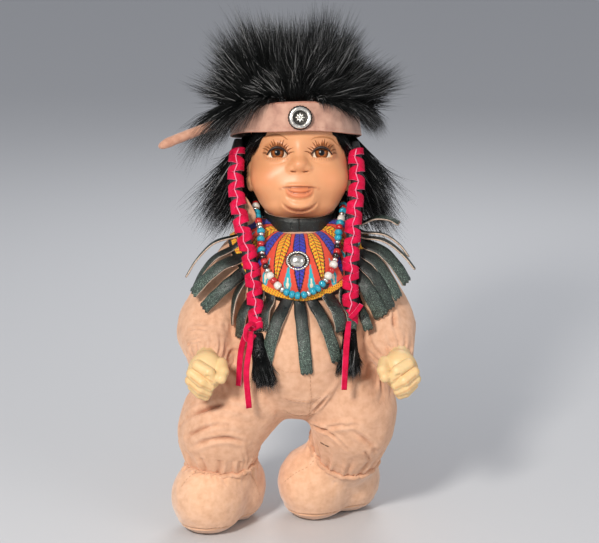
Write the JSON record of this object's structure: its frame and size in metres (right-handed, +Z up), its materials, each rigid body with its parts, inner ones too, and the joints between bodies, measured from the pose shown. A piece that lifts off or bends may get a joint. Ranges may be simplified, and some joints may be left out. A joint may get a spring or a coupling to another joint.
{
  "type": "folk doll",
  "caption": "Standing baby folk doll in a soft suede romper, with a fur crest, headband, wrapped braids, fringed leather collar, printed yoke, brooch and bead necklace.",
  "frame": {"origin": "middle of the doll's footprint on the surface it stands on", "axes": "+Z up, the doll faces -Y, its left hand is on the +X side"},
  "size_m": [0.229, 0.2144, 0.4461],
  "materials": {
    "vinyl": "satin, warm tan, soft shine",
    "hand_vinyl": "satin, paler yellow tan",
    "eye": "glossy, amber brown iris on cream",
    "suede": "brushed suede cloth with a soft nap",
    "band_suede": "brushed suede, cut edges",
    "fur": "long glossy black pile",
    "leather": "smooth black leather with a pale worn sheen and raw cut edges",
    "print": "woven cotton, printed in coral, violet, yellow, orange and turquoise",
    "lace": "flat crimson suede lace",
    "metal": "cast silver coloured metal, dark in the grooves",
    "beads": "turquoise, red, white, black and silver coloured beads"
  },
  "bodies": {
    "root": {"head": "vinyl", "eye_right": "eye", "eye_left": "eye", "headband": "band_suede", "headband_button": "metal", "hair": "fur", "fur_crest": "fur", "suede_roll": "band_suede", "romper": "suede", "bootie_right": "suede", "bootie_left": "suede", "hand_right": "hand_vinyl", "hand_left": "hand_vinyl", "fringe_collar": "leather", "printed_yoke": "print", "necklace": "beads", "brooch": "metal", "braid_right": "fur", "braid_lace_right": "lace", "braid_left": "fur", "braid_lace_left": "lace", "lace_end_right_long": "lace", "lace_end_right_short": "lace", "lace_end_left": "lace", "suede_tab": "band_suede"}
  },
  "joints": []
}
